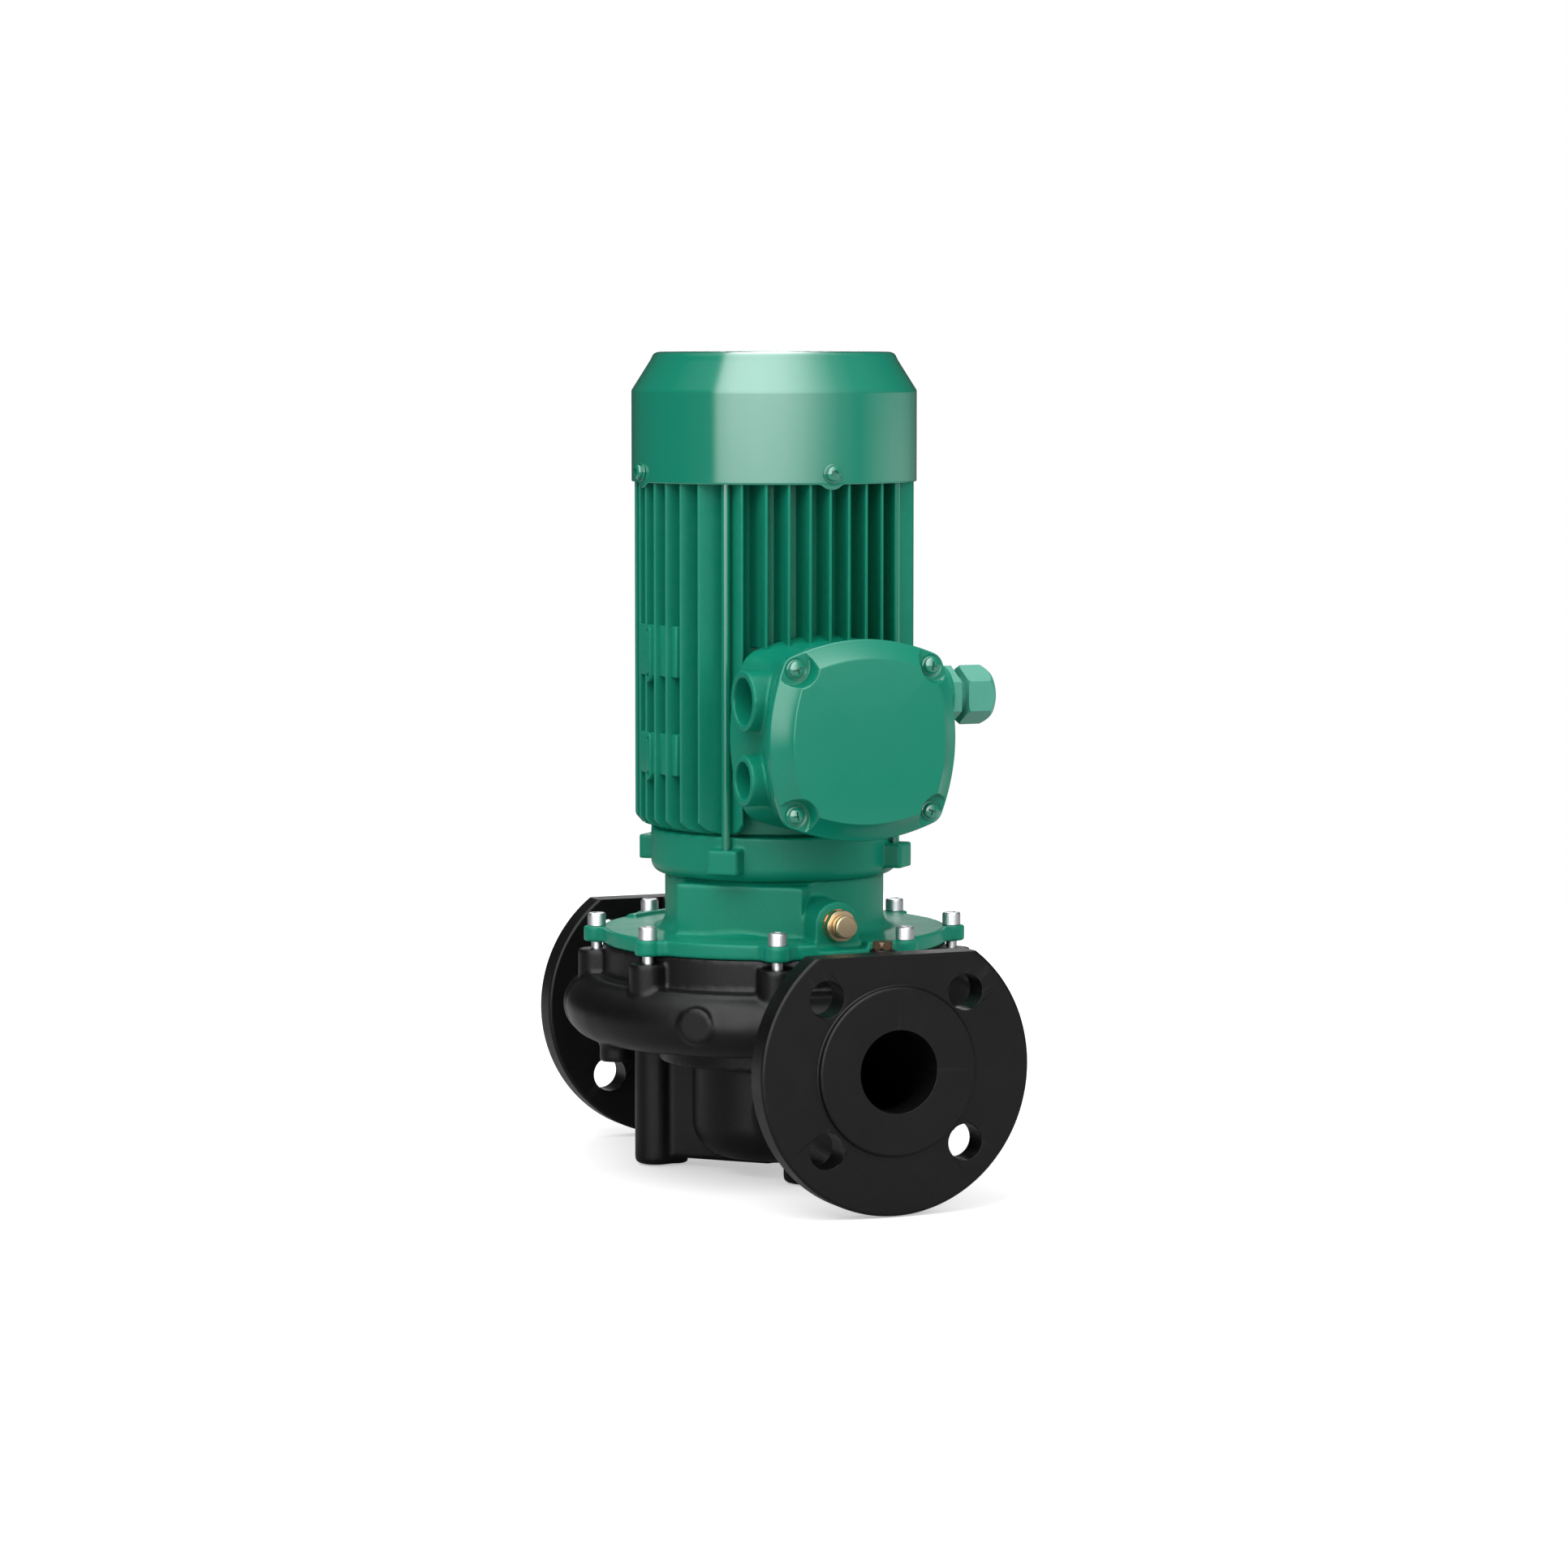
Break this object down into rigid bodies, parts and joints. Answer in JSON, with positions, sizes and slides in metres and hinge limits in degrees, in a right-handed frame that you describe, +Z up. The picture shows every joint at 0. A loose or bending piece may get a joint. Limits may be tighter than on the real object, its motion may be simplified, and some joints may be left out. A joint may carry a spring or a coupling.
{
  "type": "in-line pump",
  "caption": "In-line circulating pump: flanged casing in the pipe, lantern, finned motor upright on top with terminal box.",
  "frame": {"origin": "on the shaft axis, in the plane of the three feet", "axes": "+Z up along the shaft towards the fan, +Y along the pipe towards the discharge flange, +X towards the cable gland"},
  "size_m": [0.219, 0.32, 0.4406],
  "materials": {
    "casing_iron": "satin",
    "green_casting": "satin",
    "green_cover": "satin",
    "green_plastic": "satin",
    "zinc_steel": "satin",
    "bright_steel": "satin",
    "brass": "satin",
    "seal_ceramic": "gloss",
    "seal_carbon": "satin",
    "rubber": "matte",
    "copper": "satin",
    "core_steel": "satin",
    "black_plastic": "matte"
  },
  "bodies": {
    "pump": {"pump_casing": "casing_iron", "wear_ring": "brass", "casing_o_ring": "rubber", "gauge_plugs": "brass", "drain_plug": "brass", "lantern": "green_casting", "lantern_bolts": "zinc_steel", "vent_valve_body": "brass", "vent_washer": "copper", "seal_seat": "seal_ceramic", "seal_seat_ring": "rubber", "drive_end_shield": "green_casting", "shield_screws": "zinc_steel", "drive_bearing_outer": "bright_steel", "fan_bearing_outer": "bright_steel", "wave_spring": "bright_steel", "fan_end_shield": "green_casting", "stator_housing": "green_casting", "stator_core": "core_steel", "stator_windings": "copper", "tie_rods": "green_cover", "tie_rod_nuts": "zinc_steel", "fan_cover": "green_cover", "fan_cover_screws": "green_cover", "terminal_box": "green_casting", "box_screws": "zinc_steel", "box_gasket": "rubber", "terminal_cover": "green_cover", "terminal_cover_screws": "green_cover", "terminal_board": "black_plastic", "terminal_studs": "brass", "terminal_links": "copper", "earth_screw": "brass", "gland_body": "green_plastic", "gland_seal": "rubber", "gland_nut": "green_plastic"},
    "rotor": {"shaft": "bright_steel", "impeller": "brass", "impeller_key": "bright_steel", "impeller_washer": "bright_steel", "impeller_nut": "bright_steel", "seal_face": "seal_carbon", "seal_bellows": "rubber", "seal_spring": "bright_steel", "slinger": "rubber", "rotor_core": "core_steel", "fan": "black_plastic", "fan_clip": "bright_steel", "drive_bearing_inner": "bright_steel", "fan_bearing_inner": "bright_steel"},
    "drive_balls": {"drive_bearing_balls": "bright_steel"},
    "fan_balls": {"fan_bearing_balls": "bright_steel"},
    "vent_plunger": {"vent_ball": "bright_steel"},
    "vent_knob": {"vent_screw": "brass"}
  },
  "joints": [
    {"name": "rotor_spin", "type": "hinge", "parent": "pump", "child": "rotor", "pos_m": [0, 0, 0.176], "axis": [0, 0, 1], "continuous": true},
    {"name": "drive_cage_spin", "type": "hinge", "parent": "pump", "child": "drive_balls", "pos_m": [0, 0, 0.183], "axis": [0, 0, 1], "continuous": true},
    {"name": "fan_cage_spin", "type": "hinge", "parent": "pump", "child": "fan_balls", "pos_m": [0, 0, 0.382], "axis": [0, 0, 1], "continuous": true},
    {"name": "vent_lift", "type": "slide", "parent": "pump", "child": "vent_plunger", "axis": [0, -1, 0], "range_m": [0, 0.001]},
    {"name": "vent_turn", "type": "hinge", "parent": "vent_plunger", "child": "vent_knob", "pos_m": [0, -0.083, 0.1423], "axis": [0, -1, 0], "range_deg": [0, 360]}
  ],
  "couplings": [
    {"joint": "drive_cage_spin", "follows": "rotor_spin", "ratio": 0.3815},
    {"joint": "fan_cage_spin", "follows": "rotor_spin", "ratio": 0.3818},
    {"joint": "vent_lift", "follows": "vent_turn", "m_per_rad": 0.000159}
  ]
}
